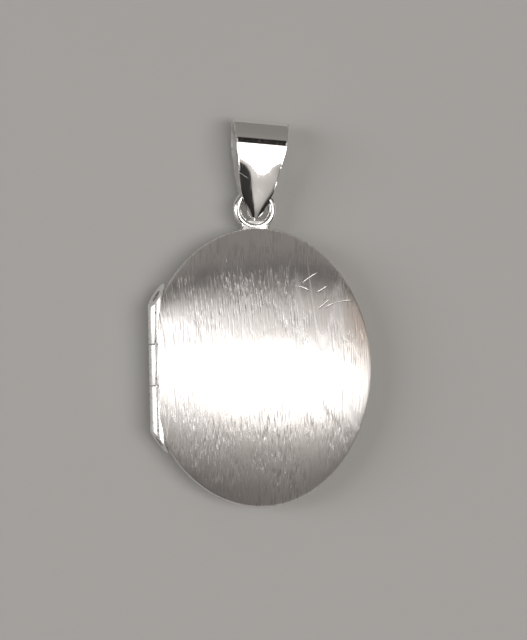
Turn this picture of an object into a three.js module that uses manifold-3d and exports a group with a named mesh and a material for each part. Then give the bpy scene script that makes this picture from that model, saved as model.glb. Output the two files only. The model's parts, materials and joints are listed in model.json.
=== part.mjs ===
// Oval silver locket, closed, lying on its back: two domed halves on a three-knuckle side hinge,
// a snap rim, a picture seat with frame, window and card in each half, and a folded bail that
// hangs in a soldered ring. Millimetres, +Z up. X runs across the oval, away from the hinge, and
// Y along it, towards the bail. The origin is the middle of the small flat that it lies on.
import * as THREE from 'three';
import { mergeVertices } from 'three/addons/utils/BufferGeometryUtils.js';
import Module from 'manifold-3d';

const manifold = await Module();
manifold.setup();

// ---------------------------------------------------------------- driving dimensions
// Body: two stamped oval halves that meet at the parting plane.
const bodyLength = 26.0;
const bodyWidth = 21.1;
const wallHeight = 0.6;            // upright wall of each half
const crownHeight = 2.2;           // rise of each dome above its wall
const crownPower = 0.85;           // below 1 rounds the shoulder, 1 is a plain cap
const sheet = 0.4;                 // thickness of the sheet
const landDepth = 0.1;             // how much the back's middle is planished flat
const partingGap = 0.04;           // between the edges of the two halves

// Hinge: tube knuckles in a seat cut through the halves' left side, on a plain pin.
const hingeLength = 16.4;          // over the slanted ends
const hingeStraight = 12.2;        // along the outer edge
const hingeShift = 0.2;            // the whole hinge sits a little towards the bail
const middleKnuckle = 3.8;
const middleShift = 0.2;           // of the middle knuckle from the middle of the hinge
const knuckleRadius = 0.8;
const knuckleGap = 0.08;
const hingeInset = 0.25;           // outer edge of the knuckles inside the oval's widest point
const pinRadius = 0.3;
const pinClearance = 0.04;
const seatClearance = 0.05;        // knuckle to its groove
const bearerWidth = 0.9;
const bearerHeight = 0.95;

// Snap rim: an upright band in the back half that the front half closes over.
const snapRimWall = 0.4;
const snapRimHeight = 0.5;         // above the parting plane
const snapRimDepth = 0.9;          // below it
const snapRimClearance = 0.05;

// Picture seats, one in each half, and what each holds.
const pictureWall = 0.35;
const pictureClearance = 0.1;      // seat to hinge bearer
const seatTop = 0.1;               // below the parting plane
const ledgeSheet = 0.18;
const ledgeWidth = 0.7;
const frameHeight = 0.4;
const frameWidth = 0.9;
const windowSheet = 0.15;
const cardSheet = 0.2;
const stackGap = 0.02;             // between card, window, frame and ledge
const slipClearance = 0.05;        // round the card, window and frame
const solderGap = 0.03;            // seam between soldered pieces

// Hanging ring in the locket's own plane, on a small flared foot on the back half.
const ringOuterRadius = 2.05;
const ringWire = 0.8;
const footNeckWidth = 2.5;
const footBaseWidth = 3.2;
const footBed = 0.3;               // solder under the ring's wire
const footHeight = 0.75;
const ringFlat = 0.15;             // filed off the ring where it meets the body

// Bail: one tapered strip folded over, its two tips soldered together through the ring.
const bailHeight = 9.65;
const bailTopWidth = 5.4;
const bailShoulderWidth = 4.6;
const bailTongueWidth = 4.1;
const bailTipShare = 0.42;         // of the ring's hole that the tip fills
const bailDepth = 3.7;             // front face to back face
const bailTipDepth = 1.12;         // front face to back face at the tip
const bailSheet = 0.45;
const bailBend = 2.8;              // height of the bend at the top
const bailTipClearance = 0.08;     // tip to the ring's lower wire
const bailWireClearance = 0.37;     // tongue to the ring's wire
const bailLean = 4.8;                // degrees, to the side away from the hinge
const bailRoll = 2.5;              // degrees, about its own length
const floorClearance = 0.05;

// Facets
const ovalSteps = 60;
const crownSteps = 7;

// ---------------------------------------------------------------- derived places
const halfWidth = bodyWidth / 2;
const halfLength = bodyLength / 2;
const partingZ = wallHeight + crownHeight - landDepth;
const knuckleX = -(halfWidth - hingeInset - knuckleRadius);
const grooveRadius = knuckleRadius + seatClearance;
const notchX = knuckleX + seatClearance;
const bearerX = notchX + bearerWidth;

// The picture's oval is a level line of the dome's inside, as near the hinge as the bearer allows,
// and the ledge sits where the dome meets that line.
const pictureHalfWidth = -bearerX - pictureClearance - pictureWall;
const pictureShare = pictureHalfWidth / (halfWidth - sheet);
const pictureHalfLength = pictureShare * (halfLength - sheet);
const ledgeDepth = wallHeight + (crownHeight - sheet) * (1 - pictureShare ** 2) ** crownPower - ledgeSheet;

const ringCentreRadius = ringOuterRadius - ringWire / 2;
const ringY = halfLength + ringOuterRadius - ringFlat;
const ringZ = partingZ - partingGap - ringWire / 2;
const bailPivotY = ringY + ringCentreRadius;
const ringHole = ringOuterRadius - ringWire;
const bailTipBelowRing = ringHole - bailTipClearance;
const bailTipWidth = 2 * ringHole * bailTipShare;
const bailTopY = bailHeight - bailTipBelowRing;

// ---------------------------------------------------------------- solids
function toSolid(geometry) {
  const bare = geometry.index ? geometry.toNonIndexed() : geometry.clone();
  bare.deleteAttribute('normal');
  bare.deleteAttribute('uv');
  const merged = mergeVertices(bare, 1e-5);
  const mesh = new manifold.Mesh({
    numProp: 3,
    vertProperties: Float32Array.from(merged.attributes.position.array),
    triVerts: Uint32Array.from(merged.index.array),
  });
  return new manifold.Manifold(mesh);
}

function toGeometry(solid) {
  const mesh = solid.getMesh();
  const geometry = new THREE.BufferGeometry();
  geometry.setAttribute('position', new THREE.BufferAttribute(mesh.vertProperties, 3));
  geometry.setIndex(new THREE.BufferAttribute(mesh.triVerts, 1));
  geometry.computeVertexNormals();
  return geometry;
}

const ovalAngle = (step) => (step / ovalSteps) * 2 * Math.PI;

// Upright oval prism between two heights.
function ovalPrism(rx, ry, z0, z1) {
  const corners = Array.from({ length: ovalSteps }, (_, step) =>
    new THREE.Vector2(rx * Math.cos(ovalAngle(step)), ry * Math.sin(ovalAngle(step))));
  return prism(corners, z0, z1);
}

function prism(corners, z0, z1) {
  const geometry = new THREE.ExtrudeGeometry(new THREE.Shape(corners), { depth: z1 - z0, bevelEnabled: false });
  return toSolid(geometry.translate(0, 0, z0));
}

function box(x0, x1, y0, y1, z0, z1) {
  const geometry = new THREE.BoxGeometry(x1 - x0, y1 - y0, z1 - z0);
  return toSolid(geometry.translate((x0 + x1) / 2, (y0 + y1) / 2, (z0 + z1) / 2));
}

// Cylinder along Y.
function rod(radius, x, z, y0, y1, steps) {
  const geometry = new THREE.CylinderGeometry(radius, radius, y1 - y0, steps);
  return toSolid(geometry.translate(x, (y0 + y1) / 2, z));
}

// Solid half body, offset inwards by inset: an upright oval wall under a crown. The front half
// rises from the parting plane and the back half hangs from it.
function halfBody(inset, isFront, extraBelow = 0) {
  const rise = crownHeight - inset;
  const profile = [new THREE.Vector2(0, -extraBelow), new THREE.Vector2(1, -extraBelow)];
  for (let step = 0; step <= crownSteps; step += 1) {
    const radius = Math.cos((step / crownSteps) * (Math.PI / 2));
    const height = rise * (1 - radius * radius) ** crownPower;
    profile.push(new THREE.Vector2(step === crownSteps ? 0 : radius, wallHeight + height));
  }
  const geometry = new THREE.LatheGeometry(profile, ovalSteps);
  geometry.scale(halfWidth - inset, 1, halfLength - inset);
  geometry.rotateX(Math.PI / 2);
  if (!isFront) geometry.rotateX(Math.PI);
  return toSolid(geometry.translate(0, 0, partingZ));
}

// ---------------------------------------------------------------- hinge
const hingeMiddle = hingeShift;
const hingeOuterX = knuckleX - knuckleRadius;
const hingeInnerX = knuckleX + knuckleRadius;

// Plan of the whole hinge: a straight outer edge with both ends slanted back to the oval.
function hingePlan() {
  const corners = [
    new THREE.Vector2(hingeOuterX, hingeMiddle - hingeStraight / 2),
    new THREE.Vector2(hingeInnerX, hingeMiddle - hingeLength / 2),
    new THREE.Vector2(hingeInnerX, hingeMiddle + hingeLength / 2),
    new THREE.Vector2(hingeOuterX, hingeMiddle + hingeStraight / 2),
  ];
  return prism(corners, partingZ - 2 * knuckleRadius, partingZ + 2 * knuckleRadius);
}

// What is cut from both halves and their rims so that the knuckles can turn there.
function hingeSeatCut() {
  const y0 = hingeMiddle - hingeLength / 2 - seatClearance;
  const y1 = hingeMiddle + hingeLength / 2 + seatClearance;
  const side = box(-bodyWidth, notchX, y0, y1, -bodyWidth, bodyWidth);
  return side.add(rod(grooveRadius, knuckleX, partingZ, y0, y1, 32));
}

function knuckle(y0, y1) {
  const tube = rod(knuckleRadius, knuckleX, partingZ, y0, y1, 32);
  const bore = rod(pinRadius + pinClearance, knuckleX, partingZ, y0 - 1, y1 + 1, 20);
  return tube.subtract(bore).intersect(hingePlan());
}

// Bar inside one half, along the seat: it closes the cut side and carries the knuckles.
function hingeBearer(isFront) {
  const near = partingZ + (isFront ? partingGap : -partingGap);
  const far = partingZ + (isFront ? bearerHeight : -bearerHeight);
  const bar = box(notchX, bearerX, -halfLength, halfLength, Math.min(near, far), Math.max(near, far));
  return bar.intersect(halfBody(sheet + solderGap, isFront)).subtract(hingeSeatCut());
}

const middleLow = hingeMiddle + middleShift - middleKnuckle / 2;
const middleHigh = hingeMiddle + middleShift + middleKnuckle / 2;
const hingeLow = hingeMiddle - hingeLength / 2;
const hingeHigh = hingeMiddle + hingeLength / 2;

// ---------------------------------------------------------------- halves
function shell(isFront) {
  const edge = partingGap / 2;
  const outside = halfBody(0, isFront);
  const inside = halfBody(sheet, isFront, edge);
  const gap = box(-bodyWidth, bodyWidth, -bodyLength, bodyLength, partingZ - edge, partingZ + edge);
  const belowLand = box(-bodyWidth, bodyWidth, -bodyLength, bodyLength, -1, 0);
  return outside.subtract(inside).subtract(gap).subtract(hingeSeatCut()).subtract(belowLand);
}

function snapRim() {
  const inset = sheet + snapRimClearance;
  const low = partingZ - snapRimDepth;
  const high = partingZ + snapRimHeight;
  const band = ovalPrism(halfWidth - inset, halfLength - inset, low, high)
    .subtract(ovalPrism(halfWidth - inset - snapRimWall, halfLength - inset - snapRimWall, low - 1, high + 1));
  const room = halfBody(inset, false).add(ovalPrism(halfWidth, halfLength, partingZ - wallHeight, high));
  const hingeSide = box(-bodyWidth, bearerX + slipClearance, -bodyLength, bodyLength, low - 1, high + 1);
  return band.intersect(room).subtract(hingeSide);
}

// ---------------------------------------------------------------- pictures
// Oval plate or ring in one half, between two depths below the parting plane.
function ovalLayer(isFront, inset, near, far, hole) {
  const z0 = isFront ? partingZ + near : partingZ - far;
  const z1 = isFront ? partingZ + far : partingZ - near;
  const plate = ovalPrism(pictureHalfWidth - inset, pictureHalfLength - inset, z0, z1);
  if (hole === undefined) return plate;
  return plate.subtract(ovalPrism(pictureHalfWidth - hole, pictureHalfLength - hole, z0 - 1, z1 + 1));
}

const cardFar = ledgeDepth - stackGap;
const cardNear = cardFar - cardSheet;
const windowFar = cardNear - stackGap;
const windowNear = windowFar - windowSheet;
const frameFar = windowNear - stackGap;
const frameNear = frameFar - frameHeight;

function pictureSeat(isFront) {
  const wall = ovalLayer(isFront, -pictureWall, seatTop, ledgeDepth + ledgeSheet, 0);
  const ledge = ovalLayer(isFront, -pictureWall / 2, ledgeDepth, ledgeDepth + ledgeSheet, ledgeWidth);
  return wall.add(ledge).intersect(halfBody(sheet + solderGap, isFront));
}

// ---------------------------------------------------------------- ring and bail
function ringTorus(wire) {
  const ring = new THREE.TorusGeometry(ringCentreRadius, wire / 2, 12, 36);
  return toSolid(ring.translate(0, ringY, ringZ));
}

function bodyAndSolder() {
  return ovalPrism(halfWidth + solderGap, halfLength + solderGap, -1, partingZ + 1);
}

function hangingRing() {
  return ringTorus(ringWire).subtract(bodyAndSolder());
}

// Flared foot of solder between the ring and the back half's wall.
function ringFoot() {
  const outline = new THREE.Shape();
  const top = halfLength + footHeight;
  outline.moveTo(-footBaseWidth / 2, halfLength - footHeight);
  outline.lineTo(footBaseWidth / 2, halfLength - footHeight);
  outline.lineTo(footBaseWidth / 2, halfLength);
  outline.quadraticCurveTo(footNeckWidth / 2, halfLength, footNeckWidth / 2, top);
  outline.lineTo(-footNeckWidth / 2, top);
  outline.quadraticCurveTo(-footNeckWidth / 2, halfLength, -footBaseWidth / 2, halfLength);
  const depth = ringWire + footBed;
  const geometry = new THREE.ExtrudeGeometry(outline, { depth, bevelEnabled: false, curveSegments: 5 });
  const foot = toSolid(geometry.translate(0, 0, ringZ + ringWire / 2 - depth));
  const eye = new THREE.CylinderGeometry(ringCentreRadius, ringCentreRadius, ringWire * 4, 36);
  return foot.subtract(bodyAndSolder())
    .subtract(ringTorus(ringWire + 2 * solderGap))
    .subtract(toSolid(eye.rotateX(Math.PI / 2).translate(0, ringY, ringZ)));
}

// Side view of the loop, as heights above the ring's middle (v) and distances from its plane (w):
// the tongues close to a wedge at the tip, and the top is a round bend. It is mirrored front to
// back. inset moves it inwards by the strip's thickness, where the two tongues leave room.
function bailLoop(inset) {
  const depth = bailDepth / 2;
  const tip = bailTipDepth / 2;
  const low = -bailTipBelowRing;
  const high = bailTopY;
  const wireSide = ringWire / 2 + bailWireClearance + bailSheet;
  const face = [
    [low, 0], [low + 0.1, 0.68 * tip], [low + 0.4, tip], [ringCentreRadius, wireSide],
    [low + 5.0, 0.9 * depth], [low + 6.0, 0.98 * depth], [high - bailBend, depth],
    [high - 0.79 * bailBend, 0.97 * depth], [high - 0.54 * bailBend, 0.85 * depth],
    [high - 0.29 * bailBend, 0.62 * depth], [high - 0.09 * bailBend, 0.35 * depth], [high, 0],
  ];
  const front = face.map(([v, w]) => new THREE.Vector3(w, v, 0));
  const back = face.slice(1, -1).reverse().map(([v, w]) => new THREE.Vector3(-w, v, 0));
  const curve = new THREE.CatmullRomCurve3([...front, ...back], true, 'centripetal');
  const points = curve.getSpacedPoints(52).slice(0, -1);
  if (inset === 0) return points.map((point) => new THREE.Vector2(point.x, point.y));
  return points.flatMap((point, index) => {
    const tangent = curve.getTangentAt(index / 52);
    const moved = new THREE.Vector2(point.x - tangent.y * inset, point.y + tangent.x * inset);
    const kept = Math.abs(point.x) > 0.01 && moved.x * point.x > 0 && Math.abs(moved.x) > 0.06;
    return kept ? [moved] : [];
  });
}

// Front view of the strip: widest over the top bend, shoulders, then tongues that taper to a tip.
function bailFace() {
  const low = -bailTipBelowRing;
  const right = [
    [0.001, low], [bailTipWidth * 0.25, low + 0.04], [bailTipWidth * 0.42, low + 0.2], [bailTipWidth * 0.5, low + 0.4],
    [bailTongueWidth * 0.3, low + 1.93], [bailTongueWidth * 0.38, low + 2.76], [bailTongueWidth * 0.465, low + 4.4],
    [bailTongueWidth * 0.52, low + 5.8], [bailShoulderWidth / 2, low + 6.4],
    [(bailShoulderWidth + bailTopWidth) / 4, bailTopY - 1.4], [bailTopWidth / 2, bailTopY + 0.1],
  ];
  const corners = right.map(([x, v]) => new THREE.Vector2(x, v));
  const left = right.slice(1).reverse().map(([x, v]) => new THREE.Vector2(-x, v));
  return [...corners, ...left];
}

function bail() {
  const loop = new THREE.Shape(bailLoop(0));
  loop.holes.push(new THREE.Path(bailLoop(bailSheet)));
  const strip = new THREE.ExtrudeGeometry(loop, { depth: bailTopWidth + 2, bevelEnabled: false });
  strip.translate(0, 0, -bailTopWidth / 2 - 1).rotateY(-Math.PI / 2);
  const face = new THREE.ExtrudeGeometry(new THREE.Shape(bailFace()), { depth: bailDepth + 2, bevelEnabled: false });
  face.translate(0, 0, -bailDepth / 2 - 1);
  return toSolid(strip).intersect(toSolid(face));
}

// The bail swings on the ring's upper wire until its top bend lies on the floor.
const bailReach = bailTopY - bailBend - ringCentreRadius;
const bailLowCorner = bailDepth / 2 + (bailTopWidth / 2) * Math.sin(THREE.MathUtils.degToRad(bailRoll));
const bailDroop = Math.asin(Math.max(0, ringZ - bailLowCorner - floorClearance) / bailReach);

// ---------------------------------------------------------------- finishes
const finish = (color, roughness, metalness, more = {}) => () =>
  new THREE.MeshStandardMaterial({ color, roughness, metalness, ...more });
const satinSilver = finish('#d6d4d0', 0.42, 1);
const polishedSilver = finish('#e6e5e2', 0.14, 1);
const innerSilver = finish('#cfcdc8', 0.3, 1);
const clearWindow = finish('#f2f6f7', 0.08, 0, { transparent: true, opacity: 0.35 });
const blankCard = finish('#ece6da', 0.85, 0);

// ---------------------------------------------------------------- assembly
const locket = new THREE.Group();
locket.name = 'locket';

function place(name, solid, material, parent = locket) {
  const mesh = new THREE.Mesh(toGeometry(solid), material());
  mesh.name = name;
  parent.add(mesh);
}

place('back_shell', shell(false), satinSilver);
place('front_shell', shell(true), satinSilver);
place('snap_rim', snapRim(), innerSilver);
place('back_hinge_bearer', hingeBearer(false), innerSilver);
place('front_hinge_bearer', hingeBearer(true), innerSilver);
place('hinge_knuckle_lower', knuckle(hingeLow, middleLow - knuckleGap), polishedSilver);
place('hinge_knuckle_middle', knuckle(middleLow, middleHigh), polishedSilver);
place('hinge_knuckle_upper', knuckle(middleHigh + knuckleGap, hingeHigh), polishedSilver);
place('hinge_pin', rod(pinRadius, knuckleX, partingZ, hingeLow, hingeHigh, 20).intersect(hingePlan()), innerSilver);

for (const [half, isFront] of [['back', false], ['front', true]]) {
  place(`${half}_picture_seat`, pictureSeat(isFront), innerSilver);
  place(`${half}_picture_card`, ovalLayer(isFront, slipClearance, cardNear, cardFar), blankCard);
  place(`${half}_picture_window`, ovalLayer(isFront, slipClearance, windowNear, windowFar), clearWindow);
  place(`${half}_picture_frame`, ovalLayer(isFront, slipClearance, frameNear, frameFar, frameWidth), innerSilver);
}

place('hanging_ring', hangingRing(), polishedSilver);
place('ring_foot', ringFoot(), polishedSilver);

const bailPivot = new THREE.Group();
bailPivot.position.set(0, bailPivotY, ringZ);
bailPivot.rotation.x = -bailDroop;
const bailHanging = new THREE.Group();
bailHanging.position.set(0, ringY - bailPivotY, 0);
bailHanging.rotation.z = -THREE.MathUtils.degToRad(bailLean);
bailHanging.rotation.y = THREE.MathUtils.degToRad(bailRoll);
bailPivot.add(bailHanging);
locket.add(bailPivot);
place('bail', bail(), polishedSilver, bailHanging);

export default locket;
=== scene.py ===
import json
import math

import bmesh
import bpy
from mathutils import Matrix, Vector


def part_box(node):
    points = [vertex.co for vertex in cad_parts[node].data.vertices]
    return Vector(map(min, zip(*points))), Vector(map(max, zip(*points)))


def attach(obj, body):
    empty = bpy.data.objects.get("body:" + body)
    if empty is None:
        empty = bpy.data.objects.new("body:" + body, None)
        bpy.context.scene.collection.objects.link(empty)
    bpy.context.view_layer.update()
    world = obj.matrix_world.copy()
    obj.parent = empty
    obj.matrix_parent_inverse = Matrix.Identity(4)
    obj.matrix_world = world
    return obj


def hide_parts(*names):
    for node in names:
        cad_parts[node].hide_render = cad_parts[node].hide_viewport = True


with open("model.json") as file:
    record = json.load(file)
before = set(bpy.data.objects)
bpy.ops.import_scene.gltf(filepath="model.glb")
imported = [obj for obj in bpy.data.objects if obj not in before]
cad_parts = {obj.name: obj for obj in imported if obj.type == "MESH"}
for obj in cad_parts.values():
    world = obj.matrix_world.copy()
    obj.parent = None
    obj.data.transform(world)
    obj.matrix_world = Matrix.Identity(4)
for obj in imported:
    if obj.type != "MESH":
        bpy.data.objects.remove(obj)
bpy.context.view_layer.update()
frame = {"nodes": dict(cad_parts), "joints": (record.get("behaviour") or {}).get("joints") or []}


# ---------------------------------------------------------------- back shell
# The back half is stamped from thin silver sheet over an oval former: an upright wall with a
# low crown. Its middle is planished flat so that it lies still, and its left side is cut away
# for the hinge.

MM = 0.001


def box_mm(node):
    """The lowest and highest corner of a CAD node, in millimetres."""
    low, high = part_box(node)
    return low / MM, high / MM


parting = (box_mm("back_shell")[1].z + box_mm("front_shell")[0].z) / 2
half_width = box_mm("back_shell")[1].x
half_length = box_mm("back_shell")[1].y
hinge_side = box_mm("back_shell")[0].x
pin_low, pin_high = box_mm("hinge_pin")
pin_x = (pin_low.x + pin_high.x) / 2
knuckle_radius = (box_mm("hinge_knuckle_middle")[1].z - box_mm("hinge_knuckle_middle")[0].z) / 2
sheet = 0.4
wall_height = 0.6
crown_height = box_mm("front_shell")[1].z - parting - wall_height
crown_fullness = 0.85
seam_gap = 0.02
wall_round = 0.22
knuckle_clearance = 0.05
brushing_tile = 30


def bevelled(width, segments=3, limit=40):
    """The settings of a modifier that rounds every sharper edge."""
    return ("BEVEL", {"width": width, "segments": segments, "profile": 0.5, "limit_method": "ANGLE",
                      "angle_limit": math.radians(limit), "use_clamp_overlap": True})


def new_piece(name, bm, body, materials, stands_for=(), sharp=35, modifiers=()):
    """Makes an object of a bmesh drawn in millimetres, finishes it, and sets it on its CAD body."""
    mesh = bpy.data.meshes.new(name)
    bm.to_mesh(mesh)
    bm.free()
    for finish in materials:
        mesh.materials.append(finish)
    piece = bpy.data.objects.new(name, mesh)
    bpy.context.scene.collection.objects.link(piece)
    for kind, settings in modifiers:
        modifier = piece.modifiers.new(kind.lower(), kind)
        for key, value in settings.items():
            setattr(modifier, key, value)
    if modifiers:
        bpy.context.view_layer.update()
        graph = bpy.context.evaluated_depsgraph_get()
        finished = bpy.data.meshes.new_from_object(piece.evaluated_get(graph))
        piece.modifiers.clear()
        piece.data = finished
        bpy.data.meshes.remove(mesh)
        mesh = finished
        mesh.name = name
    mesh.transform(Matrix.Scale(MM, 4))
    mesh.shade_smooth()
    mesh.set_sharp_from_angle(angle=math.radians(sharp))
    if body:
        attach(piece, body)
    if stands_for:
        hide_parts(*stands_for)
    return piece


def spun(profile, steps, centre=(0, 0, 0), axis=(0, 0, 1), closed=False):
    """A bmesh of a profile, a list of points, turned once about an axis."""
    bm = bmesh.new()
    corners = [bm.verts.new(point) for point in profile]
    pairs = list(zip(corners, corners[1:]))
    if closed:
        pairs.append((corners[-1], corners[0]))
    edges = [bm.edges.new(pair) for pair in pairs]
    bmesh.ops.spin(bm, geom=corners + edges, cent=centre, axis=axis, angle=math.tau,
                   steps=steps, use_merge=True)
    bmesh.ops.remove_doubles(bm, verts=bm.verts, dist=1e-4)
    bmesh.ops.recalc_face_normals(bm, faces=bm.faces)
    return bm


def sliced(bm, through, outwards):
    """Saws off what lies outwards of a plane and closes the cut."""
    bmesh.ops.bisect_plane(bm, geom=bm.verts[:] + bm.edges[:] + bm.faces[:], dist=1e-5,
                           plane_co=through, plane_no=outwards, clear_outer=True)
    bmesh.ops.holes_fill(bm, edges=[edge for edge in bm.edges if edge.is_boundary], sides=0)
    bmesh.ops.recalc_face_normals(bm, faces=bm.faces)


def along_y(radius, y0, y1, segments):
    """A bmesh of a rod on the hinge's axis."""
    bm = bmesh.new()
    place = Matrix.Translation((pin_x, (y0 + y1) / 2, parting))
    bmesh.ops.create_cone(bm, cap_ends=True, segments=segments, radius1=radius, radius2=radius,
                          depth=y1 - y0, matrix=place @ Matrix.Rotation(math.pi / 2, 4, "X"))
    return bm


def crown(share, side, height):
    """Height of the dome where share of the half width has been reached."""
    return parting + side * (wall_height + height * (1 - share * share) ** crown_fullness)


def half_shell(name, node, side, material):
    """One stamped half, outside and inside in one turned section: side is 1 for the front."""
    steps = 44
    first_step = 6
    shares = [math.cos(step / steps * math.pi / 2) for step in range(first_step, steps + 1)]
    edge = parting + side * seam_gap
    outside = [(half_width * share, crown(share, side, crown_height)) for share in reversed(shares)]
    outside += [(half_width, parting + side * wall_height), (half_width, edge)]
    inner = half_width - sheet
    inside = [(inner, edge), (inner, parting + side * wall_height)]
    inside += [(inner * share, crown(share, side, crown_height - sheet)) for share in shares]
    bm = spun([(x, 0, z) for x, z in outside + inside], 192)
    reach = {}
    for vert in bm.verts:
        reach[vert] = math.hypot(vert.co.x, vert.co.y)
    for vert, across in reach.items():
        outer_height = crown(min(1, across / half_width), side, crown_height)
        is_outer = across > inner + 0.1 or side * (vert.co.z - outer_height) > -0.1
        vert.co.y *= half_length / half_width if is_outer else (half_length - sheet) / inner
        if is_outer:
            vert.co.z = max(vert.co.z, 0)
    corner = [edge for edge in bm.edges
              if all(reach[vert] > half_width - 1e-3 for vert in edge.verts)
              and all(abs(vert.co.z - parting - side * wall_height) < 1e-3 for vert in edge.verts)]
    bmesh.ops.bevel(bm, geom=corner, affect="EDGES", offset=wall_round, segments=5, profile=0.5,
                    material=-1)
    sliced(bm, (hinge_side, 0, 0), (-1, 0, 0))
    rod = along_y(knuckle_radius + knuckle_clearance, pin_low.y - 2, pin_high.y + 2, 96)
    cutter = new_piece("groove", rod, None, [])
    cutter.data.transform(Matrix.Scale(1 / MM, 4))
    groove = ("BOOLEAN", {"operation": "DIFFERENCE", "object": cutter, "solver": "MANIFOLD"})
    body = "front_half" if side > 0 else "back_half"
    piece = new_piece(name, bm, body, [material], [node],
                      modifiers=[groove, bevelled(0.05, 2, 55)])
    bpy.data.objects.remove(cutter)
    lay_brushing(piece)
    return piece


def lay_brushing(piece):
    """Lays a map along the brushing that also runs on down the wall."""
    layer = piece.data.uv_layers.new(name="brushing")
    for loop in piece.data.loops:
        spot = piece.data.vertices[loop.vertex_index].co / MM
        drop = max(0, wall_height - abs(spot.z - parting))
        layer.data[loop.index].uv = ((spot.x + spot.x / half_width * drop) / brushing_tile,
                                     (spot.y + spot.y / half_length * drop) / brushing_tile)


class Tree:
    """Short calls for adding nodes to a node tree and linking them."""

    def __init__(self, tree):
        self.tree = tree

    def add(self, kind, inputs=None, **settings):
        made = self.tree.nodes.new(kind)
        for key, value in settings.items():
            setattr(made, key, value)
        for key, value in (inputs or {}).items():
            if isinstance(value, bpy.types.NodeSocket):
                self.tree.links.new(value, made.inputs[key])
            else:
                made.inputs[key].default_value = value
        return made

    def math(self, operation, a, b=0.0):
        return self.add("ShaderNodeMath", {0: a, 1: b}, operation=operation).outputs[0]

    def ramp(self, value, low, high, to_low=0.0, to_high=1.0):
        return self.add("ShaderNodeMapRange", {"Value": value, "From Min": low, "From Max": high,
                                               "To Min": to_low, "To Max": to_high}).outputs[0]


def new_group(name, takes, gives):
    """An empty shader group with named sockets, and its inputs and output nodes."""
    group = bpy.data.node_groups.new(name, "ShaderNodeTree")
    for label, kind, value in takes:
        socket = group.interface.new_socket(label, in_out="INPUT", socket_type=kind)
        socket.default_value = value
    for label, kind in gives:
        group.interface.new_socket(label, in_out="OUTPUT", socket_type=kind)
    tree = Tree(group)
    return group, tree, tree.add("NodeGroupInput").outputs, tree.add("NodeGroupOutput").inputs


def brushing_group():
    """Grooves along Y as steel wool leaves them: fine ones all over, deep ones in patches."""
    group, tree, takes, gives = new_group(
        "brushing",
        [("Deep", "NodeSocketFloat", 1.0)],
        [("Height", "NodeSocketFloat"), ("Strokes", "NodeSocketFloat"), ("Cloud", "NodeSocketFloat")],
    )
    place = tree.add("ShaderNodeTexCoord").outputs["Object"]
    fine = tree.add("ShaderNodeMapping", {"Vector": place, "Scale": (1.0, 0.05, 0.2)}).outputs[0]
    deep = tree.add("ShaderNodeMapping", {"Vector": place, "Scale": (1.0, 0.065, 0.2),
                                          "Rotation": (0, 0, 0.02)}).outputs[0]
    hair = tree.add("ShaderNodeTexNoise", {"Vector": fine, "Scale": 6500.0, "Detail": 3.0,
                                           "Roughness": 0.65}).outputs[0]
    cut = tree.add("ShaderNodeTexNoise", {"Vector": deep, "Scale": 6800.0, "Detail": 2.0,
                                          "Roughness": 0.55}).outputs[0]
    cloud = tree.add("ShaderNodeTexNoise", {"Vector": place, "Scale": 260.0, "Detail": 2.0}).outputs[0]
    gate = tree.math("MULTIPLY", tree.ramp(cloud, 0.38, 0.62), takes["Deep"])
    strokes = tree.math("MULTIPLY", tree.ramp(cut, 0.5, 0.66), gate)
    grooves = tree.math("SUBTRACT", tree.math("MULTIPLY", hair, 0.55), tree.math("MULTIPLY", strokes, 0.7))
    tree.tree.links.new(grooves, gives["Height"])
    tree.tree.links.new(strokes, gives["Strokes"])
    tree.tree.links.new(cloud, gives["Cloud"])
    return group


def scratch_group():
    """Stray handling scratches: thin lines where stretched noise crosses one value."""
    group, tree, takes, gives = new_group(
        "scratches",
        [("Amount", "NodeSocketFloat", 0.5), ("Scale", "NodeSocketFloat", 900.0)],
        [("Lines", "NodeSocketFloat")],
    )
    place = tree.add("ShaderNodeTexCoord").outputs["Object"]
    total = None
    for turn, shift in ((0.5, 0.01), (1.2, 0.03), (-0.7, 0.05), (2.3, 0.07)):
        turned = tree.add("ShaderNodeMapping", {"Vector": place, "Scale": (1.0, 0.06, 0.5),
                                                "Rotation": (0, 0, turn),
                                                "Location": (shift, shift, 0)}).outputs[0]
        noise = tree.add("ShaderNodeTexNoise", {"Vector": turned, "Scale": takes["Scale"],
                                                "Detail": 0.0}).outputs[0]
        off = tree.math("ABSOLUTE", tree.math("SUBTRACT", noise, 0.66))
        line = tree.ramp(off, 0.0, 0.012, 1.0, 0.0)
        total = line if total is None else tree.math("MAXIMUM", total, line)
    tree.tree.links.new(tree.math("MULTIPLY", total, takes["Amount"]), gives["Lines"])
    return group


def dent_group():
    """One short curved scratch, where something hard has slipped across the grain."""
    group, tree, takes, gives = new_group(
        "slip",
        [("Spot", "NodeSocketVector", (0, 0, 0)), ("Turn", "NodeSocketVector", (0, 0, 0)),
         ("Reach", "NodeSocketFloat", 1.0), ("Bow", "NodeSocketFloat", 0.1)],
        [("Line", "NodeSocketFloat")],
    )
    place = tree.add("ShaderNodeTexCoord").outputs["Object"]
    there = tree.add("ShaderNodeMapping", {"Vector": place, "Location": takes["Spot"],
                                           "Rotation": takes["Turn"]}, vector_type="TEXTURE").outputs[0]
    apart = tree.add("ShaderNodeSeparateXYZ", {"Vector": there}).outputs
    along = tree.math("DIVIDE", tree.math("MULTIPLY", apart[0], 1000.0), takes["Reach"])
    bow = tree.math("MULTIPLY", tree.math("MULTIPLY", along, along), takes["Bow"])
    off = tree.math("ABSOLUTE", tree.math("ADD", tree.math("MULTIPLY", apart[1], 1000.0), bow))
    thin = tree.ramp(off, 0.01, 0.07, 1.0, 0.0)
    ends = tree.ramp(tree.math("ABSOLUTE", along), 0.45, 1.0, 1.0, 0.0)
    tree.tree.links.new(tree.math("MULTIPLY", thin, ends), gives["Line"])
    return group


brushing = brushing_group()
scratches = scratch_group()
slip = dent_group()


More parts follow.
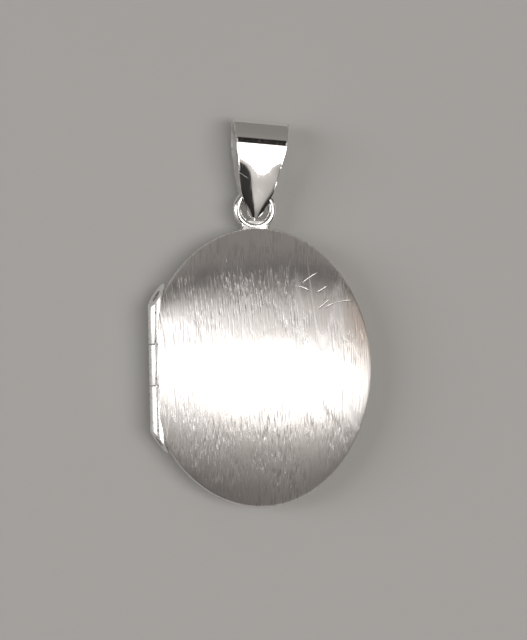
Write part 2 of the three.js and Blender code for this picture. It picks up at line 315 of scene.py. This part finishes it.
def new_material(name):
    """A fresh material, short calls for its nodes, and its shader."""
    material = bpy.data.materials.new(name)
    material.use_nodes = True
    tree = Tree(material.node_tree)
    shader = material.node_tree.nodes["Principled BSDF"]
    return material, tree, shader


def mixed(tree, factor, low, high):
    """A colour between two, by a factor."""
    mix = tree.add("ShaderNodeMix", data_type="RGBA")
    mix.clamp_factor = True
    tree.tree.links.new(factor, mix.inputs[0])
    for slot, value in ((6, low), (7, high)):
        if isinstance(value, bpy.types.NodeSocket):
            tree.tree.links.new(value, mix.inputs[slot])
        else:
            mix.inputs[slot].default_value = value
    return mix.outputs[2]


def slipped(tree, x, y, turn, reach, bow):
    """Places one curved scratch, in millimetres and degrees, and gives its mask."""
    made = tree.add("ShaderNodeGroup", node_tree=slip)
    made.inputs["Spot"].default_value = (x * MM, y * MM, 0)
    made.inputs["Turn"].default_value = (0, 0, math.radians(turn))
    made.inputs["Reach"].default_value = reach
    made.inputs["Bow"].default_value = bow
    return made.outputs[0]


def satin_silver(name, deep, slips, tarnish):
    """Silver brushed along the oval: it spreads a light across the grooves, not along them."""
    material, tree, shader = new_material(name)
    brushed = tree.add("ShaderNodeGroup", node_tree=brushing)
    brushed.inputs["Deep"].default_value = deep
    marks = tree.add("ShaderNodeGroup", node_tree=scratches)
    marks.inputs["Amount"].default_value = 0.6
    marks.inputs["Scale"].default_value = 260.0
    lines = marks.outputs[0]
    for spot in slips:
        lines = tree.math("MAXIMUM", lines, slipped(tree, *spot))
    tone = mixed(tree, tree.ramp(brushed.outputs["Cloud"], 0.3, 0.7), (0.90, 0.868, 0.845, 1),
                 (0.945, 0.925, 0.905, 1))
    tone = mixed(tree, tree.math("MULTIPLY", brushed.outputs["Strokes"], 0.5), tone, (0.66, 0.62, 0.60, 1))
    place = tree.add("ShaderNodeTexCoord").outputs["Object"]
    x, y, reach = tarnish
    near = tree.add("ShaderNodeMapping", {"Vector": place, "Location": (x * MM, y * MM, 0)},
                    vector_type="TEXTURE").outputs[0]
    flat = tree.add("ShaderNodeVectorMath", {0: near, 1: (1.0, 0.55, 0.0)}, operation="MULTIPLY").outputs[0]
    away = tree.add("ShaderNodeVectorMath", {0: flat}, operation="LENGTH").outputs["Value"]
    patch = tree.math("POWER", tree.ramp(away, 0.0, reach * MM, 0.95, 0.0), 1.9)
    patch = tree.math("MULTIPLY", patch, tree.ramp(brushed.outputs["Height"], -0.1, 0.4, 1.0, 0.45))
    tone = mixed(tree, patch, tone, (0.62, 0.46, 0.36, 1))
    tone = mixed(tree, lines, tone, (0.97, 0.96, 0.95, 1))
    height = tree.math("SUBTRACT", brushed.outputs["Height"], tree.math("MULTIPLY", lines, 0.4))
    bump = tree.add("ShaderNodeBump", {"Strength": 1.0, "Distance": 0.05 * MM, "Height": height})
    rough = tree.math("ADD", tree.ramp(brushed.outputs["Height"], 0.0, 0.45, 0.40, 0.32),
                      tree.math("MULTIPLY", brushed.outputs["Strokes"], 0.12))
    rough = tree.math("ADD", rough, tree.math("MULTIPLY", lines, 0.3))
    tangent = tree.add("ShaderNodeTangent", direction_type="UV_MAP", uv_map="brushing")
    links = material.node_tree.links
    links.new(tone, shader.inputs["Base Color"])
    links.new(rough, shader.inputs["Roughness"])
    links.new(bump.outputs[0], shader.inputs["Normal"])
    links.new(tangent.outputs[0], shader.inputs["Tangent"])
    shader.inputs["Metallic"].default_value = 1.0
    shader.inputs["Anisotropic"].default_value = 0.95
    return material


back_satin = satin_silver("back_satin", 0.7, [(-4.2, 3.1, 24, 1.3, 0.1), (5.0, -4.4, -60, 0.9, -0.08)],
                          (-8.0, -6.0, 4.0))
half_shell("back_skin", "back_shell", -1, back_satin)


# ---------------------------------------------------------------- hinge bearers
# Two square silver bars, soldered inside the halves behind the cut sides. Each has a hollow
# filed along it for the knuckles.

def polished_silver(name, tint, rough, marks_amount, ripple, slips=()):
    """Silver polished on a buff, with the fine marks that handling leaves."""
    material, tree, shader = new_material(name)
    marks = tree.add("ShaderNodeGroup", node_tree=scratches)
    marks.inputs["Amount"].default_value = marks_amount
    marks.inputs["Scale"].default_value = 1500.0
    place = tree.add("ShaderNodeTexCoord").outputs["Object"]
    swell = tree.add("ShaderNodeTexNoise", {"Vector": place, "Scale": 700.0, "Detail": 1.0}).outputs[0]
    haze = tree.add("ShaderNodeTexNoise", {"Vector": place, "Scale": 2600.0, "Detail": 4.0}).outputs[0]
    lines = marks.outputs[0]
    for spot in slips:
        lines = tree.math("MAXIMUM", lines, slipped(tree, *spot))
    height = tree.math("SUBTRACT", tree.math("MULTIPLY", swell, ripple), tree.math("MULTIPLY", lines, 0.25))
    bump = tree.add("ShaderNodeBump", {"Strength": 1.0, "Distance": 0.01 * MM, "Height": height})
    blur = tree.math("ADD", tree.ramp(haze, 0.3, 0.8, rough * 0.6, rough * 1.5),
                     tree.math("MULTIPLY", lines, 0.3))
    links = material.node_tree.links
    links.new(blur, shader.inputs["Roughness"])
    links.new(bump.outputs[0], shader.inputs["Normal"])
    shader.inputs["Base Color"].default_value = tint
    shader.inputs["Metallic"].default_value = 1.0
    return material


inner_silver = polished_silver("inner_silver", (0.83, 0.82, 0.79, 1), 0.24, 0.5, 0.6)
for node in ("back_hinge_bearer", "front_hinge_bearer"):
    frame["nodes"][node].data.materials.clear()
    frame["nodes"][node].data.materials.append(inner_silver)


# ---------------------------------------------------------------- hinge knuckles and pin
# Three lengths of drawn tube, two on the back half and one on the front, with a wire through
# them. The ends of the outer two are filed at a slant with the wire in place.

hinge_silver = polished_silver("hinge_silver", (0.93, 0.925, 0.91, 1), 0.34, 0.2, 0.35)
hinge_middle = 0.2
straight_half = 6.1
slant_half = 8.2
lower_lean = 12
upper_lean = 22
pin_radius = 0.3
bore_radius = 0.34


def slant_end(bm, way, lean):
    """Files one end of the hinge back to the oval, leaning the cut back towards the front."""
    outer = Vector((pin_x - knuckle_radius, hinge_middle + way * straight_half, parting - knuckle_radius))
    inner = Vector((pin_x + knuckle_radius, hinge_middle + way * slant_half, parting - knuckle_radius))
    run = (inner - outer).normalized()
    outwards = Vector((-run.y, run.x, 0)) * way
    lean = math.radians(lean)
    sliced(bm, outer, outwards * math.cos(lean) + Vector((0, 0, math.sin(lean))))


def knuckle(node, body):
    """A tube round the pin: the outer two are slant-ended."""
    low, high = box_mm(node)
    y0, y1 = low.y, high.y
    if node.endswith("lower"):
        y0 = hinge_middle - slant_half
    if node.endswith("upper"):
        y1 = hinge_middle + slant_half
    bm = spun([(pin_x + bore_radius, y0, parting), (pin_x + knuckle_radius, y0, parting),
               (pin_x + knuckle_radius, y1, parting), (pin_x + bore_radius, y1, parting)], 64,
              centre=(pin_x, 0, parting), axis=(0, 1, 0), closed=True)
    if node.endswith("lower"):
        slant_end(bm, -1, lower_lean)
    if node.endswith("upper"):
        slant_end(bm, 1, upper_lean)
    new_piece(node + "_tube", bm, body, [hinge_silver], [node],
              modifiers=[bevelled(0.05)])


knuckle("hinge_knuckle_lower", "back_half")
knuckle("hinge_knuckle_middle", "front_half")
knuckle("hinge_knuckle_upper", "back_half")

pin = along_y(pin_radius, hinge_middle - slant_half, hinge_middle + slant_half, 48)
slant_end(pin, -1, lower_lean)
slant_end(pin, 1, upper_lean)
new_piece("hinge_pin_wire", pin, "back_half", [inner_silver], ["hinge_pin"])


# ---------------------------------------------------------------- snap rim
# An upright band of silver soldered inside the back half's wall. The front half closes over
# it with a click, and it stops short of the hinge on both sides.

def oval_band(profile, longer, steps=192):
    """A section turned to a round ring and drawn out to an oval, as the ring is in real life."""
    bm = spun([(x, 0, z) for x, z in profile], steps, closed=True)
    for vert in bm.verts:
        vert.co.y += vert.co.y / math.hypot(vert.co.x, vert.co.y) * longer
    return bm


rim_low, rim_high = box_mm("snap_rim")
rim_out = rim_high.x
rim_wall = 0.4
rim_in = rim_out - rim_wall
lead = 0.1
rim = oval_band([(rim_out, rim_low.z), (rim_out, rim_high.z - lead), (rim_out - lead, rim_high.z),
                 (rim_in + lead / 2, rim_high.z), (rim_in, rim_high.z - lead / 2), (rim_in, rim_low.z)],
                rim_high.y - rim_high.x)
sliced(rim, (rim_low.x, 0, 0), (-1, 0, 0))
new_piece("snap_rim_band", rim, "back_half", [inner_silver], ["snap_rim"],
          modifiers=[bevelled(0.04, 2)])


# ---------------------------------------------------------------- picture seats
# In each half an oval band stands in the dome with a thin ledge round its foot. Both are
# soldered in, and they hold the card, the window and the frame.

def seat(half, side):
    """The oval band of one half with its ledge, as one turned section."""
    name = half + "_picture_seat"
    low, high = box_mm(name)
    near = high.z if side < 0 else low.z
    far = low.z if side < 0 else high.z
    wall, ledge, thick, soft, foot_lift = 0.35, 0.7, 0.18, 0.06, 0.16
    out, mid = high.x, high.x - wall
    shelf = far - side * thick
    foot = far - side * foot_lift
    profile = [(out, foot), (out, near + side * soft), (out - soft, near), (mid + soft, near),
               (mid, near + side * soft), (mid, shelf), (mid - ledge, shelf), (mid - ledge, far), (mid, far)]
    bm = oval_band(profile, high.y - high.x)
    new_piece(name + "_band", bm, half + "_half", [inner_silver], [name])


seat("back", -1)
seat("front", 1)


# ---------------------------------------------------------------- picture cards and windows
# A blank oval of ivory card fills each seat where a picture goes, under a disc of clear
# acetate that keeps it flat.

def card_material():
    """Ivory card, a little yellowed in clouds, with a fine fibre."""
    material, tree, shader = new_material("ivory_card")
    place = tree.add("ShaderNodeTexCoord").outputs["Object"]
    fibre = tree.add("ShaderNodeTexNoise", {"Vector": place, "Scale": 5200.0, "Detail": 4.0,
                                            "Roughness": 0.7}).outputs[0]
    stain = tree.add("ShaderNodeTexNoise", {"Vector": place, "Scale": 180.0, "Detail": 2.0}).outputs[0]
    tone = mixed(tree, tree.ramp(stain, 0.35, 0.7), (0.84, 0.79, 0.68, 1), (0.78, 0.71, 0.58, 1))
    bump = tree.add("ShaderNodeBump", {"Strength": 0.5, "Distance": 0.01 * MM, "Height": fibre})
    links = material.node_tree.links
    links.new(tone, shader.inputs["Base Color"])
    links.new(bump.outputs[0], shader.inputs["Normal"])
    shader.inputs["Roughness"].default_value = 0.85
    return material


def acetate_material():
    """Clear acetate, cut from a sheet that is not quite flat."""
    material, tree, shader = new_material("clear_acetate")
    place = tree.add("ShaderNodeTexCoord").outputs["Object"]
    wave = tree.add("ShaderNodeTexNoise", {"Vector": place, "Scale": 220.0, "Detail": 1.0}).outputs[0]
    bump = tree.add("ShaderNodeBump", {"Strength": 0.4, "Distance": 0.02 * MM, "Height": wave})
    material.node_tree.links.new(bump.outputs[0], shader.inputs["Normal"])
    shader.inputs["Base Color"].default_value = (0.97, 0.98, 0.98, 1)
    shader.inputs["Roughness"].default_value = 0.05
    shader.inputs["Transmission Weight"].default_value = 1.0
    shader.inputs["IOR"].default_value = 1.47
    return material


def oval_disc(name, body, material):
    """A flat oval disc with softened edges, where the CAD has its plain one."""
    low, high = box_mm(name)
    soft = 0.04
    profile = [(0, 0, low.z), (high.x - soft, 0, low.z), (high.x, 0, low.z + soft),
               (high.x, 0, high.z - soft), (high.x - soft, 0, high.z), (0, 0, high.z)]
    bm = spun(profile, 160)
    for vert in bm.verts:
        vert.co.y *= high.y / high.x
    new_piece(name + "_oval", bm, body, [material], [name])


ivory_card = card_material()
clear_acetate = acetate_material()
for half in ("back", "front"):
    oval_disc(half + "_picture_card", half + "_half", ivory_card)
    oval_disc(half + "_picture_window", half + "_half", clear_acetate)


# ---------------------------------------------------------------- picture frames
# A springy half-round band of silver drops into each seat and grips by its own spring. It
# lifts out with a fingernail to change the picture.

frame_silver = polished_silver("frame_silver", (0.92, 0.91, 0.89, 1), 0.12, 0.4, 0.5)
for half, side in (("back", -1), ("front", 1)):
    low, high = box_mm(half + "_picture_frame")
    near = low.z if side > 0 else high.z
    far = high.z if side > 0 else low.z
    width = 0.85
    straight_share = 0.35
    arch = []
    for step in range(9):
        turn = step / 8 * math.pi
        arch.append((high.x - width / 2 + math.cos(turn) * width / 2,
                     far + (near - far) * (straight_share + (1 - straight_share) * math.sin(turn))))
    profile = [(high.x, far)] + arch + [(high.x - width, far)]
    new_piece(half + "_frame_band", oval_band(profile, high.y - high.x), half + "_frame", [frame_silver],
              [half + "_picture_frame"])


# ---------------------------------------------------------------- front shell
# The front half is the same stamping as the back with the better finish: it was brushed
# lengthways last of all, so the grooves run right to its edge.

slips = [(4.7, 8.2, 33, 1.0, 0.06), (5.9, 7.1, 30, 0.6, 0.0), (7.4, 5.9, 14, 1.5, 0.22),
         (3.9, 7.3, -18, 0.8, 0.1), (6.0, 5.7, 38, 0.7, 0.0)]
front_satin = satin_silver("front_satin", 1.0, slips, (9.9, 4.4, 4.6))
half_shell("front_skin", "front_shell", 1, front_satin)


# ---------------------------------------------------------------- hanging ring and its foot
# A closed ring of round wire stands in the locket's own plane, sunk in a flared foot of
# solder on the back half's wall.

ring_low, ring_high = box_mm("hanging_ring")
ring_radius = ring_high.x
wire_radius = (ring_high.z - ring_low.z) / 2
ring_centre = Vector((0, ring_high.y - ring_radius, (ring_high.z + ring_low.z) / 2))
ring_silver = polished_silver("ring_silver", (0.94, 0.935, 0.92, 1), 0.17, 0.3, 1.4)

wire_circle = []
for step in range(32):
    turn = step / 32 * math.tau
    wire_circle.append((ring_radius - wire_radius + math.cos(turn) * wire_radius, ring_centre.y,
                        ring_centre.z + math.sin(turn) * wire_radius))
ring = spun(wire_circle, 128, centre=ring_centre, axis=(0, 0, 1), closed=True)
new_piece("hanging_ring_wire", ring, "back_half", [ring_silver], ["hanging_ring"])

foot_low, foot_high = box_mm("ring_foot")
foot = bmesh.new()
bmesh.ops.create_cube(foot, size=1.0)
bmesh.ops.subdivide_edges(foot, edges=foot.edges[:], cuts=11, use_grid_fill=True)
foot_height = foot_high.z - foot_low.z
foot_half_width = 1.66
waist = 0.36
sunk = 0.2
for vert in foot.verts:
    up = vert.co.y + 0.5
    flare = foot_half_width - waist * min(1, up * 2.4) ** 0.7 + 0.03 * math.sin(up * 9)
    x = vert.co.x * 2 * flare
    edge = half_length * math.sqrt(1 - (x / half_width) ** 2)
    lump = 0.07 * math.sin(x * 4.3 + 0.6) * (1 - up)
    y = edge - sunk + lump + up * (foot_high.y - edge + 0.3 - lump)
    top = 0.04 * math.sin(x * 3.1) * math.cos(up * 4) + 0.1 * up
    z = foot_high.z - foot_height / 2 - 0.02 + vert.co.z * (foot_height - top)
    vert.co = Vector((x, y, z))
bmesh.ops.smooth_vert(foot, verts=foot.verts, factor=0.5,
                      use_axis_x=True, use_axis_y=True, use_axis_z=True)
new_piece("ring_foot_solder", foot, "back_half", [ring_silver], ["ring_foot"], sharp=80)


# ---------------------------------------------------------------- bail
# One strip of silver, cut like a bow tie, is folded over a mandrel, and its two tips are
# soldered together through the ring. It is polished all over.

bail_silver = polished_silver("bail_silver", (0.95, 0.945, 0.93, 1), 0.06, 0.3, 0.35,
                              [(-1.2, 17.95, -35, 0.7, 0.0), (0.9, 20.2, 8, 0.9, 0.05)])
# The inner face's tint is a touch lighter than the outside's. That is painted light, for the light the inner
# face catches. Its rougher finish is its own.
bail_inside = polished_silver("bail_inside", (0.96, 0.955, 0.945, 1), 0.55, 0.3, 1.0)
bail_pivot = Vector([joint for joint in frame["joints"] if joint["name"] == "bail_swing"][0]["pos_m"]) / MM
bail_sheet = 0.45
half_depth = 1.85
tip_half_depth = 0.56
bail_height = 9.65
bail_tip = -1.17
bail_top = bail_height + bail_tip
bail_turn = 2.5
bail_lean = 4.8
dish_depth = 0.3
dish_end = 6.3
dish_run = 2.2
wire_clearance = 0.37
wire_side = wire_radius + wire_clearance + bail_sheet


def smooth_line(points, per_span):
    """Even points on a smooth closed curve through a few."""
    curve = bpy.data.curves.new("line", "CURVE")
    curve.dimensions = "3D"
    curve.resolution_u = per_span
    spline = curve.splines.new("BEZIER")
    spline.bezier_points.add(len(points) - 1)
    for spot, point in zip(spline.bezier_points, points):
        spot.co = point
        spot.handle_left_type = "AUTO"
        spot.handle_right_type = "AUTO"
    spline.use_cyclic_u = True
    holder = bpy.data.objects.new("line", curve)
    bpy.context.scene.collection.objects.link(holder)
    bpy.context.view_layer.update()
    mesh = bpy.data.meshes.new_from_object(holder.evaluated_get(bpy.context.evaluated_depsgraph_get()))
    line = [vert.co.copy() for vert in mesh.vertices]
    bpy.data.objects.remove(holder)
    bpy.data.curves.remove(curve)
    bpy.data.meshes.remove(mesh)
    return line


def bail_half_width(up):
    """Half the strip's width at a height above its tip."""
    marks = [(0, 0.2), (0.04, 0.3), (0.2, 0.46), (0.4, 0.56), (1.93, 1.23), (2.76, 1.56), (4.4, 1.905),
             (5.8, 2.13), (6.4, 2.29), (bail_height - 1.4, 2.5), (bail_height, 2.69)]
    for (low, narrow), (high, wide) in zip(marks, marks[1:]):
        if up <= high:
            return narrow + (wide - narrow) * max(0, (up - low) / (high - low))
    return marks[-1][1]


side_view = [(bail_tip, 0), (bail_tip + 0.1, 0.68 * tip_half_depth), (bail_tip + 0.4, tip_half_depth),
             (ring_radius - wire_radius, wire_side), (bail_tip + 5.0, 0.925 * half_depth),
             (bail_tip + 6.0, 0.968 * half_depth), (bail_top - 2.7, 0.998 * half_depth),
             (bail_top - 2.6, half_depth), (bail_top - 2.5, 0.9945 * half_depth),
             (bail_top - 1.95, 0.948 * half_depth), (bail_top - 1.6, 0.885 * half_depth),
             (bail_top - 0.8, 0.63 * half_depth),
             (bail_top - 0.25, 0.35 * half_depth), (bail_top, 0)]
around = side_view + [(v, -w) for v, w in side_view[-2:0:-1]]
loop = smooth_line([Vector((-1, v, w)) for v, w in around], 8)


def within(index):
    """The point of the strip's inner side that faces a point of its outer side."""
    here = loop[index]
    run = (loop[(index + 1) % len(loop)] - loop[index - 1]).normalized()
    spot = here + Vector((0, run.z, -run.y)) * bail_sheet * inner_way
    if spot.z * here.z <= 0 or abs(spot.z) < 0.05:
        spot.z = math.copysign(0.05, here.z)
        spot.y = min(max(spot.y, bail_tip + 0.62), bail_top - bail_sheet)
    return spot


inner_way = 1
if within(len(loop) // 4).z > loop[len(loop) // 4].z:
    inner_way = -1
bail = bmesh.new()
inside = bail.verts.layers.int.new("inside")
outline = [bail.verts.new(point) for point in loop]
edges = [bail.edges.new(pair) for pair in zip(outline, outline[1:] + outline[:1])]
grown = bmesh.ops.extrude_edge_only(bail, edges=edges)["geom"]
for vert in [item for item in grown if isinstance(item, bmesh.types.BMVert)]:
    nearest = min(range(len(loop)), key=lambda index: (loop[index] - vert.co).length)
    vert.co = within(nearest)
    vert[inside] = 1
section = [item for item in grown if isinstance(item, bmesh.types.BMFace)]
rows = 28
for row in range(rows):
    grown = bmesh.ops.extrude_face_region(bail, geom=section)["geom"]
    moved = [item for item in grown if isinstance(item, bmesh.types.BMVert)]
    bmesh.ops.translate(bail, verts=moved, vec=(2 / rows, 0, 0))
    section = [item for item in grown if isinstance(item, bmesh.types.BMFace)]
for vert in bail.verts:
    across = vert.co.x
    up = vert.co.y - bail_tip
    vert.co.x *= bail_half_width(up)
    blend = min(1, max(0, (dish_end - up) / dish_run))
    dish = dish_depth * blend * blend * (3 - 2 * blend) * min(1, abs(vert.co.z) / 0.5)
    vert.co.z -= math.copysign(dish * across * across, vert.co.z)
bmesh.ops.recalc_face_normals(bail, faces=bail.faces)
for face in bail.faces:
    face.material_index = int(all(vert[inside] for vert in face.verts))
hung = (Matrix.Translation(bail_pivot) @ Matrix.Translation((0, ring_centre.y - bail_pivot.y, 0))
        @ Matrix.Rotation(math.radians(bail_turn), 4, "Y")
        @ Matrix.Rotation(math.radians(-bail_lean), 4, "Z"))
bail_piece = new_piece("bail_strip", bail, "bail", [bail_silver, bail_inside], ["bail"],
                       sharp=50, modifiers=[bevelled(0.18, 5, 50)])
bail_piece.data.transform(Matrix.Scale(MM, 4) @ hung @ Matrix.Scale(1 / MM, 4))


# ---------------------------------------------------------------- floor, light and camera
# A pale matt floor. One long oval light hangs across the locket and a weaker one stands at the
# hinge's side. The walls are pale with dark gaps, which polished silver mirrors. The camera
# looks nearly straight down.

floor_mesh = bmesh.new()
bmesh.ops.create_grid(floor_mesh, x_segments=2, y_segments=2, size=1200)
floor = new_piece("floor", floor_mesh, None, [])
floor_material, _, floor_shader = new_material("pale_floor")
floor_shader.inputs["Base Color"].default_value = (0.5, 0.495, 0.48, 1)
floor_shader.inputs["Roughness"].default_value = 0.9
floor.data.materials.append(floor_material)


def area_light(name, place, aim, size, power, tint):
    """A soft rectangular light that faces a point."""
    light = bpy.data.lights.new(name, "AREA")
    light.shape = "RECTANGLE"
    light.size, light.size_y = size
    light.energy = power
    light.color = tint
    holder = bpy.data.objects.new(name, light)
    bpy.context.scene.collection.objects.link(holder)
    holder.location = place
    holder.rotation_euler = (Vector(place) - Vector(aim)).to_track_quat("Z", "Y").to_euler()
    return holder


overhead = area_light("overhead", (0.215, -0.045, 0.6), (0.215, -0.045, 0), (0.6, 0.24), 1.4,
                      (1, 0.99, 0.975))
overhead.data.shape = "ELLIPSE"
overhead.rotation_euler.z += math.radians(-8)
area_light("left_fill", (-0.5, 0.06, 0.34), (0, 0, 0), (0.2, 0.44), 1.0, (0.98, 0.99, 1))

world = bpy.data.worlds.new("studio")
bpy.context.scene.world = world
world.use_nodes = True
sky = Tree(world.node_tree)
gaze = sky.add("ShaderNodeTexCoord").outputs["Generated"]
way = sky.add("ShaderNodeSeparateXYZ", {"Vector": gaze}).outputs
room = sky.add("ShaderNodeValToRGB", {"Fac": sky.ramp(way["Y"], -1.0, 1.0)}).outputs
bands = sky.tree.nodes[-1].color_ramp.elements
warm = (1.0, 0.94, 0.89)
levels = [(-1.0, 0.26), (-0.58, 0.25), (-0.5, 0.31), (-0.42, 0.45), (-0.33, 0.6), (-0.28, 0.72),
          (0.24, 0.62), (0.33, 0.58), (0.36, 0.02), (0.48, 0.02), (0.53, 0.26), (1.0, 0.22)]
for index, (reach, level) in enumerate(levels):
    if index == 0 or index == len(levels) - 1:
        stop = bands[min(index, len(bands) - 1)]
        stop.position = (reach + 1) / 2
    else:
        stop = bands.new((reach + 1) / 2)
    stop.color = (level * warm[0], level * warm[1], level * warm[2], 1)
gap = sky.math("MULTIPLY", sky.ramp(way["X"], -0.05, -0.12), sky.ramp(way["X"], -0.72, -0.62))
gap = sky.math("MULTIPLY", gap, sky.ramp(way["Y"], 0.26, 0.16))
far_gap = sky.math("MULTIPLY", sky.ramp(way["X"], 0.66, 0.74), sky.ramp(way["X"], 0.98, 0.92))
far_gap = sky.math("MULTIPLY", far_gap, sky.ramp(way["Y"], 0.26, 0.16))
gap_darkness = 0.93
dim = sky.math("SUBTRACT", 1.0, sky.math("MULTIPLY", sky.math("MAXIMUM", gap, far_gap), gap_darkness))
background = world.node_tree.nodes["Background"]
world.node_tree.links.new(room[0], background.inputs["Color"])
world.node_tree.links.new(dim, background.inputs["Strength"])

tilt_left, tilt_up, roll = math.radians(8.0), math.radians(-2.6), math.radians(-1.39)
distance = 0.15
away = Vector((-math.sin(tilt_left) * math.cos(tilt_up), math.sin(tilt_up),
               math.cos(tilt_left) * math.cos(tilt_up)))
right = Vector((0, 1, 0)).cross(away).normalized()
upward = away.cross(right)
right, upward = (right * math.cos(roll) + upward * math.sin(roll),
                 upward * math.cos(roll) - right * math.sin(roll))
aim = Vector((0, 4.5, parting)) * MM + right * 0.51 * MM - upward * 0.077 * MM
camera_data = bpy.data.cameras.new("camera")
camera_data.sensor_fit = "VERTICAL"
camera_data.sensor_height = 24
camera_data.lens = 60.1
camera_data.clip_start = 0.01
camera = bpy.data.objects.new("camera", camera_data)
bpy.context.scene.collection.objects.link(camera)
camera.matrix_world = Matrix((
    (right.x, upward.x, away.x, aim.x + away.x * distance),
    (right.y, upward.y, away.y, aim.y + away.y * distance),
    (right.z, upward.z, away.z, aim.z + away.z * distance),
    (0, 0, 0, 1),
))
bpy.context.scene.camera = camera
bpy.context.scene.view_settings.view_transform = "Standard"
